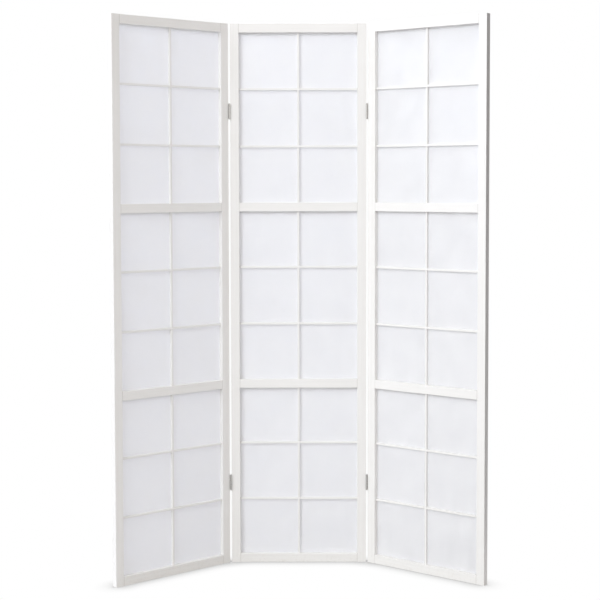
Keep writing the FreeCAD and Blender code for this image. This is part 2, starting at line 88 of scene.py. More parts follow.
class Value:
    """A number that a node tree works out, used in ordinary Python expressions."""

    def __init__(self, tree: "Tree", socket: NodeSocket) -> None:
        """Keeps the tree and the socket that gives the number."""
        self.tree = tree
        self.socket = socket

    def __add__(self, other: Any) -> "Value":
        """self + other."""
        return self.tree.math("ADD", self, other)

    def __sub__(self, other: Any) -> "Value":
        """self - other."""
        return self.tree.math("SUBTRACT", self, other)

    def __rsub__(self, other: Any) -> "Value":
        """other - self."""
        return self.tree.math("SUBTRACT", other, self)

    def __mul__(self, other: Any) -> "Value":
        """self * other."""
        return self.tree.math("MULTIPLY", self, other)

    def __truediv__(self, other: Any) -> "Value":
        """self / other."""
        return self.tree.math("DIVIDE", self, other)

    def __rtruediv__(self, other: Any) -> "Value":
        """other / self."""
        return self.tree.math("DIVIDE", other, self)

    def __mod__(self, other: Any) -> "Value":
        """self % other, never below nought."""
        return self.tree.math("FLOORED_MODULO", self, other)

    def __rmod__(self, other: Any) -> "Value":
        """other % self, never below nought."""
        return self.tree.math("FLOORED_MODULO", other, self)

    def __abs__(self) -> "Value":
        """The size of self without its sign."""
        return self.tree.math("ABSOLUTE", self)

    __radd__ = __add__
    __rmul__ = __mul__

    def swing(self, share: float) -> "Value":
        """How far a noise is from its mean, times that share."""
        return share * (self - NOISE_MEAN)


class Tree:
    """A node tree under construction, of a material, the world or a modifier."""

    def __init__(self, tree: NodeTree) -> None:
        """Takes an empty tree to build in."""
        self.tree = tree

    def node(
        self,
        kind: str,
        settings: dict[str, Any] | None = None,
        inputs: dict[Any, Any] | None = None,
    ) -> Node:
        """Adds a node.

        Args:
            kind: the node's type.
            settings: its properties, set before its sockets.
            inputs: values or links of its sockets, by name or number. A node stands
                for its first output.

        Returns:
            The new node.
        """
        node = self.tree.nodes.new(kind)
        for name, value in (settings or {}).items():
            setattr(node, name, value)
        for key, value in (inputs or {}).items():
            source = value.socket if isinstance(value, Value) else value
            if isinstance(source, Node):
                source = source.outputs[0]
            if isinstance(source, NodeSocket):
                self.tree.links.new(source, node.inputs[key])
            else:
                node.inputs[key].default_value = source
        return node

    def math(self, operation: str, *terms: Any, clamp: bool = False) -> Value:
        """Adds a Math node.

        Args:
            operation: what it does.
            terms: numbers or values that it works on.
            clamp: whether the result is kept from 0 to 1.

        Returns:
            The result.
        """
        settings = {"operation": operation, "use_clamp": clamp}
        node = self.node("ShaderNodeMath", settings, dict(enumerate(terms)))
        return Value(self, node.outputs[0])

    def scaled(self, vector: Any, factors: tuple[float, float, float]) -> NodeSocket:
        """Multiplies a vector's three parts.

        Args:
            vector: the socket that gives it.
            factors: what X, Y and Z are multiplied by.

        Returns:
            The socket of the product.
        """
        inputs = {0: vector, 1: factors}
        node = self.node("ShaderNodeVectorMath", {"operation": "MULTIPLY"}, inputs)
        return node.outputs[0]

    def noise(self, vector: Any, pattern: Pattern) -> Value:
        """Adds a noise pattern.

        Args:
            vector: where it is read.
            pattern: how fine and how rough it is.

        Returns:
            Its value, about 0.5 on the whole.
        """
        inputs = {
            "Vector": vector,
            "Scale": pattern.scale,
            "Detail": pattern.detail,
            "Roughness": pattern.roughness,
        }
        return Value(self, self.node("ShaderNodeTexNoise", None, inputs).outputs[0])

    def ramp(
        self, value: Value, start: float, end: float, smooth: bool = True
    ) -> Value:
        """A step from 0 at start to 1 at end.

        Args:
            value: the number that is mapped.
            start: where the step begins, above end for a step down.
            end: where it is complete.
            smooth: whether the step eases in and out.

        Returns:
            The step's height.
        """
        inputs = {"Value": value, "From Min": start, "From Max": end}
        settings = {"interpolation_type": "SMOOTHSTEP" if smooth else "LINEAR"}
        return Value(self, self.node("ShaderNodeMapRange", settings, inputs).outputs[0])

    def split(self, vector: Any) -> tuple[Value, Value, Value]:
        """The X, Y and Z parts of a vector."""
        node = self.node("ShaderNodeSeparateXYZ", None, {0: vector})
        return tuple(Value(self, socket) for socket in node.outputs)


class Shader(Tree):
    """A material under construction."""

    def __init__(self, name: str) -> None:
        """Starts a material with an empty tree.

        Args:
            name: the material's name.
        """
        self.material = bpy.data.materials.new(name)
        self.material.use_nodes = True
        self.material.node_tree.nodes.clear()
        super().__init__(self.material.node_tree)

    def place(self, turn: float = 0.0, shift: Vector = Vector()) -> NodeSocket:
        """Where a point lies on the object, or in a turned panel's own frame.

        Args:
            turn: the angle that undoes the panel's turn, in radians.
            shift: what then brings the panel's centre to the origin.

        Returns:
            The socket of the place.
        """
        where = self.node("ShaderNodeTexCoord").outputs["Object"]
        inputs = {"Vector": where, "Rotation": (0, 0, turn), "Location": tuple(shift)}
        return self.node("ShaderNodeMapping", None, inputs).outputs[0]

    def blend(self, factor: Value, first: tuple, second: Any) -> NodeSocket:
        """Mixes two colours.

        Args:
            factor: the share of the second.
            first: the first colour, as three numbers or a socket.
            second: the second colour, likewise.

        Returns:
            The socket of the mixed colour.
        """
        colours = [(*c, 1.0) if isinstance(c, tuple) else c for c in (first, second)]
        settings = {"data_type": "RGBA", "clamp_factor": True}
        inputs = {0: factor, 6: colours[0], 7: colours[1]}
        return self.node("ShaderNodeMix", settings, inputs).outputs[2]

    def relief(self, height: Value) -> NodeSocket:
        """The normal of a surface whose height is given in metres."""
        inputs = {"Height": height, "Distance": 1.0, "Strength": 1.0}
        return self.node("ShaderNodeBump", None, inputs).outputs[0]

    def principled(self, **inputs: Any) -> Node:
        """The main shader, with its sockets named with underscores for spaces."""
        named = {key.replace("_", " "): value for key, value in inputs.items()}
        return self.node("ShaderNodeBsdfPrincipled", None, named)

    def finished(self, surface: Node) -> Material:
        """Ends the material with that surface."""
        self.node("ShaderNodeOutputMaterial", None, {"Surface": surface})
        return self.material


# --- where the panels stand ---


@dataclass(frozen=True)
class Placement:
    """Where a panel stands at rest, from its fold and the pitch of its hinges."""

    side: Side
    fold: float
    joint_reach: float = 224.5 * MM
    pin_reach: float = 13.3 * MM

    @property
    def turn(self) -> float:
        """The panel's turn about +Z, in radians."""
        return -self.side.value * math.radians(self.fold)

    @property
    def base(self) -> Vector:
        """Where the middle of the panel's foot stands.

        Returns:
            The place, in the object's frame.
        """
        if self.side is Side.CENTRE:
            return Vector()
        across, back = math.cos(self.turn), abs(math.sin(self.turn))
        reach = self.joint_reach * (1 + across) + self.pin_reach * back
        depth = self.pin_reach * (across - 1) - self.joint_reach * back
        return Vector((self.side.value * reach, depth, 0))

    @property
    def matrix(self) -> Matrix:
        """Takes the panel's own frame to the object's."""
        return Matrix.Translation(self.base) @ Matrix.Rotation(self.turn, 4, "Z")

    def place(self, shader: Shader) -> NodeSocket:
        """A point's place in the panel's own frame, for a shader."""
        return shader.place(-self.turn, self.matrix.inverted().translation)


# --- finishes ---


@dataclass(frozen=True)
class SatinPaint:
    """Satin white paint brushed along sanded softwood, whose grain just shows."""

    light: tuple = (0.885, 0.878, 0.865)
    shade: tuple = (0.825, 0.815, 0.795)
    scuff: tuple = (0.60, 0.57, 0.52)
    worn: tuple = (0.74, 0.70, 0.63)
    # darker line where rails meet stiles: dust and painted shade in the joint's groove
    seam_dust_and_shade: tuple = (0.60, 0.58, 0.55)
    grain: Pattern = Pattern(460.0, detail=5, roughness=0.62)
    brush: Pattern = Pattern(130.0, detail=3, roughness=0.55)
    cloud: Pattern = Pattern(5.0, detail=3)
    patches: Pattern = Pattern(90.0, detail=4, roughness=0.65)
    pores: Pattern = Pattern(1900.0)
    pore_edge: tuple = (0.62, 0.74)
    cloud_share: float = 1.1
    brush_share: float = 0.9
    grain_share: float = 0.7
    grain_depth: float = 0.05 * MM
    brush_depth: float = 0.10 * MM
    pore_depth: float = 0.02 * MM
    roughness: float = 0.42
    grain_rough: float = 0.25
    scuff_rough: float = 0.12
    refraction: float = 1.48
    scuff_height: float = 45 * MM
    scuff_edge: tuple = (0.50, 0.68)
    scuff_share: float = 0.18
    worn_reach: tuple = (1.1 * MM, 0.3 * MM)
    worn_edge: tuple = (0.48, 0.60)
    worn_share: float = 0.4
    seam_shade_reach: tuple = (1.3 * MM, 0.52 * MM)
    seam_shade_share: float = 0.9

    def material(
        self,
        name: str,
        placement: Placement,
        run: Run,
        corner: tuple[float, float],
        rail_end: float,
    ) -> Material:
        """Makes the paint of one panel's upright or level pieces.

        Args:
            name: the material's name.
            placement: where the panel stands.
            run: which way the grain runs.
            corner: half the panel's width and half its thickness.
            rail_end: how far from the panel's middle the rails meet the stiles.

        Returns:
            The material.
        """
        shader = Shader(name)
        place = placement.place(shader)
        along = shader.scaled(place, run.value)
        grain = shader.noise(along, self.grain)
        brush = shader.noise(along, self.brush)
        cloud = shader.noise(place, self.cloud)
        pores = shader.ramp(shader.noise(along, self.pores), *self.pore_edge)
        x, y, z = shader.split(place)
        patches = shader.noise(place, self.patches)
        tone = NOISE_MEAN + cloud.swing(self.cloud_share)
        tone = tone + brush.swing(self.brush_share) + grain.swing(self.grain_share)
        paint = shader.blend(tone, self.shade, self.light)
        foot = shader.ramp(z, self.scuff_height, 0.0)
        foot = foot * shader.ramp(patches, *self.scuff_edge)
        paint = shader.blend(foot * self.scuff_share, paint, self.scuff)
        arris = [
            shader.ramp(abs(part), *(half - reach for reach in self.worn_reach))
            for part, half in zip((x, y), corner)
        ]
        rubbed = arris[0] * arris[1] * shader.ramp(patches, *self.worn_edge)
        paint = shader.blend(rubbed * self.worn_share, paint, self.worn)
        # darkens a thin line where the rails meet the stiles: dust and painted shade in
        # the joint's groove
        if run is Run.LEVEL:
            ends = (rail_end - reach for reach in self.seam_shade_reach)
            seam_dust_and_shade = shader.ramp(abs(x), *ends)
            paint = shader.blend(seam_dust_and_shade * self.seam_shade_share, paint, self.seam_dust_and_shade)
        relief = grain * self.grain_depth + brush * self.brush_depth
        relief = relief - pores * self.pore_depth
        matt = self.roughness + grain.swing(self.grain_rough) + self.scuff_rough * foot
        surface = shader.principled(
            Base_Color=paint,
            Roughness=matt,
            IOR=self.refraction,
            Normal=shader.relief(relief),
        )
        return shader.finished(surface)


@dataclass(frozen=True)
class FibrePaper:
    """Cool white mulberry paper: clouded pulp and fibres, which pass some light."""

    thin: tuple = (0.945, 0.945, 0.950)
    thick: tuple = (0.990, 0.990, 0.995)
    cloud: Pattern = Pattern(16.0, detail=4, roughness=0.55)
    pulp: Pattern = Pattern(1100.0, detail=3, roughness=0.6)
    fibre: Pattern = Pattern(46.0, detail=1, roughness=0.4)
    hair: Pattern = Pattern(120.0, detail=1, roughness=0.4)
    fibre_stretch: tuple = (1.0, 1.0, 0.55)
    hair_stretch: tuple = (0.6, 1.0, 1.0)
    hair_share: float = 0.6
    thread_width: float = 0.010
    gap_share: float = 0.7
    gap_edge: tuple = (0.46, 0.58)
    cloud_share: float = 1.3
    pulp_share: float = 0.5
    dense_share: float = 0.40
    cloud_depth: float = 0.10 * MM
    dense_depth: float = 0.03 * MM
    pulp_depth: float = 0.012 * MM
    roughness: float = 0.62
    pulp_rough: float = 0.3
    refraction: float = 1.40
    passing: float = 0.46
    cloud_passing: float = 0.38
    dense_passing: float = 0.20
    glow: tuple = (0.975, 0.975, 0.985)

    def material(self, name: str, placement: Placement) -> Material:
        """Makes the paper of one panel.

        Args:
            name: the material's name.
            placement: where the panel stands.

        Returns:
            The material.
        """
        shader = Shader(name)
        place = placement.place(shader)
        cloud = shader.noise(place, self.cloud)
        pulp = shader.noise(place, self.pulp)
        fibre = self._threads(shader, place, self.fibre, self.fibre_stretch)
        hair = self._threads(shader, place, self.hair, self.hair_stretch)
        dense = shader.math("MAXIMUM", fibre, hair * self.hair_share)
        tone = NOISE_MEAN + cloud.swing(self.cloud_share) + pulp.swing(self.pulp_share)
        tone = tone + self.dense_share * dense
        colour = shader.blend(tone, self.thin, self.thick)
        relief = cloud * self.cloud_depth + dense * self.dense_depth
        normal = shader.relief(relief + pulp * self.pulp_depth)
        front = shader.principled(
            Base_Color=colour,
            Roughness=self.roughness + pulp.swing(self.pulp_rough),
            IOR=self.refraction,
            Normal=normal,
        )
        inside = {"Color": (*self.glow, 1), "Normal": normal}
        through = shader.node("ShaderNodeBsdfTranslucent", None, inside)
        passing = self.passing - cloud.swing(self.cloud_passing)
        passing = passing - self.dense_passing * dense
        sides = {0: passing, 1: front, 2: through}
        return shader.finished(shader.node("ShaderNodeMixShader", None, sides))

    def _threads(
        self,
        shader: Shader,
        place: Any,
        pattern: Pattern,
        stretch: tuple[float, float, float],
    ) -> Value:
        """Thin winding threads, where a noise passes its middle value.

        Args:
            shader: the material under construction.
            place: where the pattern is read.
            pattern: the noise.
            stretch: what X, Y and Z are multiplied by first.

        Returns:
            1 on a thread and 0 off it.
        """
        stretched = shader.scaled(place, stretch)
        winding = shader.noise(stretched, pattern)
        gaps = Pattern(pattern.scale * self.gap_share, pattern.detail)
        there = shader.ramp(shader.noise(stretched, gaps), *self.gap_edge)
        return shader.ramp(abs(winding - NOISE_MEAN), self.thread_width, 0.0) * there


@dataclass(frozen=True)
class Metal:
    """Plated or drawn steel, rubbed along its height, with a few duller patches."""

    bright: tuple = (0.70, 0.69, 0.67)
    dull: tuple = (0.50, 0.49, 0.47)
    roughness: float = 0.30
    rub_stretch: tuple = (1.0, 1.0, 0.04)
    rub: Pattern = Pattern(1500.0, detail=4, roughness=0.6)
    patches: Pattern = Pattern(260.0, detail=4, roughness=0.6)
    dull_share: float = 0.35
    patch_share: float = 1.2
    rub_share: float = 0.8
    rub_rough: float = 0.30
    patch_rough: float = 0.25
    rub_depth: float = 0.012 * MM

    def material(self, name: str) -> Material:
        """Makes the metal.

        Args:
            name: the material's name.

        Returns:
            The material.
        """
        shader = Shader(name)
        place = shader.place()
        rubbed = shader.noise(shader.scaled(place, self.rub_stretch), self.rub)
        patch = shader.noise(place, self.patches)
        tone = self.dull_share + patch.swing(self.patch_share)
        matt = self.roughness + rubbed.swing(self.rub_rough)
        surface = shader.principled(
            Base_Color=shader.blend(
                tone + rubbed.swing(self.rub_share), self.bright, self.dull
            ),
            Metallic=1.0,
            Roughness=matt + patch.swing(self.patch_rough),
            Normal=shader.relief(rubbed * self.rub_depth),
        )
        return shader.finished(surface)


@dataclass(frozen=True)
class BareBeech:
    """Unpainted beech of the dowels, with its short dark flecks."""

    pale: tuple = (0.66, 0.47, 0.30)
    dark: tuple = (0.48, 0.31, 0.18)
    grain: Pattern = Pattern(500.0, detail=5, roughness=0.6)
    flecks: Pattern = Pattern(1600.0)
    fleck_edge: tuple = (0.58, 0.70)
    dark_share: float = 0.4
    grain_share: float = 1.6
    fleck_share: float = 0.4
    roughness: float = 0.55
    grain_rough: float = 0.3
    grain_depth: float = 0.06 * MM

    def material(self, name: str, placement: Placement) -> Material:
        """Makes the wood of one panel's dowels.

        Args:
            name: the material's name.
            placement: where the panel stands.

        Returns:
            The material.
        """
        shader = Shader(name)
        along = shader.scaled(placement.place(shader), Run.LEVEL.value)
        grain = shader.noise(along, self.grain)
        fleck = shader.ramp(shader.noise(along, self.flecks), *self.fleck_edge)
        tone = self.dark_share + grain.swing(self.grain_share)
        tone = tone + self.fleck_share * fleck
        surface = shader.principled(
            Base_Color=shader.blend(tone, self.pale, self.dark),
            Roughness=self.roughness + grain.swing(self.grain_rough),
            Normal=shader.relief(grain * self.grain_depth),
        )
        return shader.finished(surface)


# --- pieces made by rule ---


def add_object(name: str, data: Any) -> Object:
    """Puts a mesh, a lamp or a camera in the scene.

    Args:
        name: the object's name.
        data: what it shows.

    Returns:
        The object.
    """
    item = bpy.data.objects.new(name, data)
    bpy.context.scene.collection.objects.link(item)
    return item


def sizes_of(part: Any, *names: str) -> dict[str, float]:
    """A part's sizes, under the names that a tree's inputs have."""
    return {name.title(): getattr(part, name) for name in names}


class Maker(Tree):
    """A Geometry Nodes tree under construction, with named inputs for its sizes."""

    def __init__(self, name: str, **sizes: float) -> None:
        """Starts a tree.

        Args:
            name: the tree's name.
            sizes: its inputs and their values, in metres or plain numbers.
        """
        group = bpy.data.node_groups.new(name, "GeometryNodeTree")
        super().__init__(group)
        new_socket = group.interface.new_socket
        for end in ("INPUT", "OUTPUT"):
            new_socket("Geometry", in_out=end, socket_type="NodeSocketGeometry")
        self.sizes: dict[str, float] = {}
        for label, value in sizes.items():
            kind = "NodeSocketInt" if isinstance(value, int) else "NodeSocketFloat"
            title = label.replace("_", " ")
            socket = new_socket(title, in_out="INPUT", socket_type=kind)
            self.sizes[socket.identifier] = value
        self.inputs = self.node("NodeGroupInput")

    def size(self, label: str) -> Value:
        """The input of that name."""
        return Value(self, self.inputs.outputs[label.replace("_", " ")])

    def geometry(self) -> NodeSocket:
        """The geometry that the tree starts from."""
        return self.inputs.outputs["Geometry"]

    def vector(self, **parts: Any) -> NodeSocket:
        """A vector from its X, Y and Z parts."""
        return self.node("ShaderNodeCombineXYZ", None, parts).outputs[0]

    def join(self, *shapes: NodeSocket) -> NodeSocket:
        """Joins shapes into one geometry.

        Args:
            shapes: the sockets that give them.

        Returns:
            The socket of the whole.
        """
        node = self.node("GeometryNodeJoinGeometry")
        for shape in shapes:
            self.tree.links.new(shape, node.inputs[0])
        return node.outputs[0]

    def bake(self, start: Mesh, end: Any, finish: Material) -> Mesh:
        """Ends the tree and turns its result into a plain mesh.

        Args:
            start: the mesh that the tree starts from.
            end: the socket or node that gives what it has made.
            finish: the material that this gets.

        Returns:
            The result as a mesh of its own.
        """
        real = self.node("GeometryNodeRealizeInstances", None, {"Geometry": end})
        dressed = {"Geometry": real, "Material": finish}
        made = self.node("GeometryNodeSetMaterial", None, dressed)
        self.node("NodeGroupOutput", None, {"Geometry": made})
        blank = add_object(f"{self.tree.name}_blank", start)
        modifier = blank.modifiers.new("make", "NODES")
        modifier.node_group = self.tree
        for identifier, value in self.sizes.items():
            modifier[identifier] = value
        graph = bpy.context.evaluated_depsgraph_get()
        mesh = bpy.data.meshes.new_from_object(blank.evaluated_get(graph))
        blank.modifiers.remove(modifier)
        bpy.data.objects.remove(blank)
        return mesh


def new_piece(name: str, mesh: Mesh, body: str) -> Object:
    """Puts a mesh in the scene as a piece that rides on a body.

    Args:
        name: the piece's name.
        mesh: its mesh, in the object's frame.
        body: the CAD body that it moves with.

    Returns:
        The piece.
    """
    mesh.name = name
    piece = add_object(name, mesh)
    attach(piece, body)
    return piece


def dress(node: str, finish: Material) -> None:
    """Gives a CAD node its finish.

    Args:
        node: the node's name.
        finish: the material for all its slots.
    """
    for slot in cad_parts[node].material_slots:
        slot.material = finish
    log.info("dressed %s in %s", node, finish.name)


@dataclass(frozen=True)
class PaperSheet:
    """One sheet of paper, held behind its lattice and slack by a hair in each pane."""

    width: float
    height: float
    opening_width: float
    opening_height: float
    bar_width: float
    thickness: float = 0.3 * MM
    cell: float = 7 * MM
    slack: float = 0.9 * MM
    weld: float = 0.03 * MM
    panes_up: int = 3
    ripple: Pattern = Pattern(17.0, detail=1.5)
    ripple_range: tuple = (0.25, 0.75)

    def mesh(self, finish: Material, seed: int) -> Mesh:
        """Makes the sheet about its own middle, with its front at Y = 0.

        Args:
            finish: its material.
            seed: which ripples it has.

        Returns:
            The sheet as a closed thin mesh.
        """
        names = ("width", "height", "opening_width", "opening_height", "bar_width")
        sizes = sizes_of(self, *names, "thickness", "slack")
        maker = Maker(
            "stretched_paper",
            **sizes,
            Ripple_Scale=self.ripple.scale,
            Ripple_Detail=self.ripple.detail,
            Seed=seed,
        )
        grid = maker.node(
            "GeometryNodeMeshGrid",
            None,
            {
                "Size X": maker.size("Width"),
                "Size Y": maker.size("Height"),
                "Vertices X": round(self.width / self.cell) + 1,
                "Vertices Y": round(self.height / self.cell) + 1,
            },
        )
        upright = {"Geometry": grid, "Rotation": (QUARTER_TURN, 0, 0)}
        flat = maker.node("GeometryNodeTransform", None, upright)
        moved = {"Geometry": flat, "Offset": maker.vector(Y=self._sag(maker))}
        front = maker.node("GeometryNodeSetPosition", None, moved).outputs[0]
        thick = {
            "Mesh": front,
            "Offset": (0, 1, 0),
            "Offset Scale": maker.size("Thickness"),
            "Individual": False,
        }
        inward = maker.node("GeometryNodeExtrudeMesh", {"mode": "FACES"}, thick)
        back = maker.node("GeometryNodeFlipFaces", None, {"Mesh": inward}).outputs[0]
        closed = {"Geometry": maker.join(front, back), "Distance": self.weld}
        whole = maker.node("GeometryNodeMergeByDistance", None, closed)
        return maker.bake(bpy.data.meshes.new("paper_start"), whole, finish)

    def _sag(self, maker: Maker) -> Value:
        """How far the paper stands back from the lattice, nought on bars and laps.

        Args:
            maker: the tree under construction, with the paper upright in it.

        Returns:
            The distance.
        """
        place = maker.node("GeometryNodeInputPosition").outputs[0]
        x, _, z = maker.split(place)
        labels = ("Bar_Width", "Opening_Width", "Opening_Height")
        bar, wide, high = (maker.size(label) for label in labels)
        pane_wide = (wide - bar) / 2
        pane_high = (high - (self.panes_up - 1) * bar) / self.panes_up
        across = (abs(x) - bar / 2) / pane_wide
        up = ((z + high / 2) % (pane_high + bar)) / pane_high
        window = self._arch(maker, across) * self._arch(maker, up)
        inputs = {
            "Vector": place,
            "W": maker.size("Seed"),
            "Scale": maker.size("Ripple_Scale"),
            "Detail": maker.size("Ripple_Detail"),
        }
        noise = maker.node("ShaderNodeTexNoise", {"noise_dimensions": "4D"}, inputs)
        height = Value(maker, noise.outputs[0])
        ripple = maker.ramp(height, *self.ripple_range, smooth=False)
        return window * ripple * maker.size("Slack")

    @staticmethod
    def _arch(maker: Maker, share: Value) -> Value:
        """Rises from nought at both edges of a pane to one in its middle.

        Args:
            maker: the tree under construction.
            share: how far across the pane a point lies, from 0 to 1.

        Returns:
            The arch's height.
        """
        inside = maker.math("MULTIPLY", share, 1.0, clamp=True)
        parabola = inside * (1 - inside) * 4
        return maker.math("SQRT", parabola)


@dataclass(frozen=True)
class HingeScrew:
    """A countersunk steel screw with a cross recess."""

    head_radius: float = 2.4 * MM
    head_depth: float = 1.0 * MM
    core_radius: float = 1.05 * MM
    thread_radius: float = 1.4 * MM
    length: float = 16 * MM
    pitch: float = 1.1 * MM
    tip: float = 2.5 * MM
    recess_width: float = 2.6 * MM
    recess_slot: float = 0.55 * MM
    recess_depth: float = 0.7 * MM
    head_sides: int = 24
    shank_sides: int = 12
    ridge_sides: int = 3
    turn_steps: int = 10

    def mesh(self, points: Mesh, finish: Material, seed: int) -> Mesh:
        """Makes all the screws of a body.

        Args:
            points: a vertex at each head's middle, whose "aim" points into the wood.
            finish: their material.
            seed: how each recess happens to be turned.

        Returns:
            The screws as one mesh.
        """
        head = ("head_radius", "head_depth")
        recess = ("recess_width", "recess_slot", "recess_depth")
        shank = ("core_radius", "thread_radius", "length", "pitch", "tip")
        sizes = sizes_of(self, *head, *recess, *shank)
        maker = Maker("hinge_screws", **sizes, Seed=seed)
        vector = {"data_type": "FLOAT_VECTOR"}
        aim = maker.node("GeometryNodeInputNamedAttribute", vector, {0: "aim"})
        along = {"Vector": aim}
        aligned = maker.node("FunctionNodeAlignRotationToVector", {"axis": "Z"}, along)
        limits = {"Max": QUARTER_TURN, "Seed": maker.size("Seed")}
        drawn = maker.node("FunctionNodeRandomValue", {"data_type": "FLOAT"}, limits)
        by = maker.vector(Z=drawn.outputs["Value"])
        turned = maker.node(
            "FunctionNodeRotateRotation",
            {"rotation_space": "LOCAL"},
            {"Rotation": aligned, "Rotate By": by},
        )
        placed = {
            "Points": maker.geometry(),
            "Instance": self._screw(maker),
            "Rotation": turned,
        }
        screws = maker.node("GeometryNodeInstanceOnPoints", None, placed)
        return maker.bake(points, screws, finish)

    def _screw(self, maker: Maker) -> NodeSocket:
        """One screw along +Z, with the flat of its head at the origin.

        Args:
            maker: the tree under construction.

        Returns:
            The screw's geometry.
        """
        core, deep = "Core_Radius", maker.size("Head_Depth")
        wide, slim = maker.size("Recess_Width"), maker.size("Recess_Slot")
        recess = 2 * maker.size("Recess_Depth")
        head = self._cone(maker, self.head_sides, core, "Head_Radius", deep)
        settings = {"operation": "DIFFERENCE", "solver": "EXACT"}
        cut = maker.node("GeometryNodeMeshBoolean", settings, {0: head})
        for x, y in ((wide, slim), (slim, wide)):
            box = {"Size": maker.vector(X=x, Y=y, Z=recess)}
            arm = maker.node("GeometryNodeMeshCube", None, box)
            maker.tree.links.new(arm.outputs[0], cut.inputs[1])
        straight = maker.size("Length") - deep - maker.size("Tip")
        shank = self._cone(maker, self.shank_sides, core, core, straight)
        tip = self._cone(maker, self.shank_sides, None, core, maker.size("Tip"))
        return maker.join(
            cut.outputs[0],
            self._raised(maker, shank, deep),
            self._raised(maker, tip, deep + straight),
            self._raised(maker, self._thread(maker, straight), deep),
        )

    def _thread(self, maker: Maker, straight: Value) -> NodeSocket:
        """The thread's ridge, wound along the shank.

        Args:
            maker: the tree under construction.
            straight: the length of the shank that it covers.

        Returns:
            The ridge's geometry, from the origin upward.
        """
        core = maker.size("Core_Radius")
        ridge = maker.size("Thread_Radius") - core
        wound = {
            "Resolution": self.turn_steps,
            "Rotations": straight / maker.size("Pitch"),
            "Start Radius": core,
            "End Radius": core,
            "Height": straight,
        }
        path = maker.node("GeometryNodeCurveSpiral", None, wound)
        circle = {"Resolution": self.ridge_sides, "Radius": ridge}
        ring = maker.node("GeometryNodeCurvePrimitiveCircle", None, circle)
        swept = {"Curve": path, "Profile Curve": ring, "Fill Caps": True}
        return maker.node("GeometryNodeCurveToMesh", None, swept).outputs[0]

    @staticmethod
    def _cone(
        maker: Maker, sides: int, top: str | None, foot: str, depth: Value
    ) -> NodeSocket:
        """A cone or rod along +Z from the origin.

        Args:
            maker: the tree under construction.
            sides: how many sides it has.
            top: the input that gives its far radius, or None for a point.
            foot: the input that gives its near radius.
            depth: its length.

        Returns:
            The cone's geometry.
        """
        inputs = {
            "Vertices": sides,
            "Radius Bottom": maker.size(foot),
            "Depth": depth,
            "Radius Top": maker.size(top) if top else 0.0,
        }
        return maker.node("GeometryNodeMeshCone", None, inputs).outputs[0]

    @staticmethod
    def _raised(maker: Maker, shape: Any, height: Value) -> NodeSocket:
        """Moves a shape up by that height."""
        inputs = {"Geometry": shape, "Translation": maker.vector(Z=height)}
        return maker.node("GeometryNodeTransform", None, inputs).outputs[0]


@dataclass(frozen=True)
class SlipBrad:
    """A small flat brad head that holds a slip, one every so often along it."""

    radius: float = 0.8 * MM
    proud: float = 0.06 * MM
    set_in: float = 0.5 * MM
    spacing: float = 92 * MM
    sides: int = 10

    def mesh(self, lines: Mesh, finish: Material, turn: float) -> Mesh:
        """Makes the brads along the slips.

        Args:
            lines: an edge along the back of each slip.
            finish: their material.
            turn: the panel's turn about +Z.

        Returns:
            The brads as one mesh.
        """
        sizes = sizes_of(self, "radius", "proud", "set_in", "spacing")
        maker = Maker("slip_brads", **sizes, Turn=turn)
        curves = maker.node("GeometryNodeMeshToCurve", None, {"Mesh": maker.geometry()})
        steps = {"Curve": curves, "Length": maker.size("Spacing")}
        spaced = maker.node("GeometryNodeResampleCurve", {"mode": "LENGTH"}, steps)
        proud, set_in = maker.size("Proud"), maker.size("Set_In")
        pin = {
            "Vertices": self.sides,
            "Radius": maker.size("Radius"),
            "Depth": proud + set_in,
        }
        rod = maker.node("GeometryNodeMeshCylinder", None, pin)
        laid = {
            "Geometry": rod,
            "Translation": maker.vector(Y=(proud - set_in) / 2),
            "Rotation": (QUARTER_TURN, 0, 0),
        }
        brad = maker.node("GeometryNodeTransform", None, laid)
        placed = {
            "Points": spaced,
            "Instance": brad,
            "Rotation": maker.vector(Z=maker.size("Turn")),
        }
        brads = maker.node("GeometryNodeInstanceOnPoints", None, placed)
        return maker.bake(lines, brads, finish)


# --- sub-assemblies ---


@dataclass(frozen=True)
class Finishes:
    """The finishes of the whole screen."""

    paint: SatinPaint = SatinPaint()
    paper: FibrePaper = FibrePaper()
    beech: BareBeech = BareBeech()
    nickel: Metal = Metal()
    drawn: Metal = Metal((0.62, 0.61, 0.60), (0.42, 0.41, 0.40), roughness=0.36)
    zinc: Metal = Metal((0.74, 0.75, 0.76), (0.52, 0.52, 0.50), roughness=0.40)


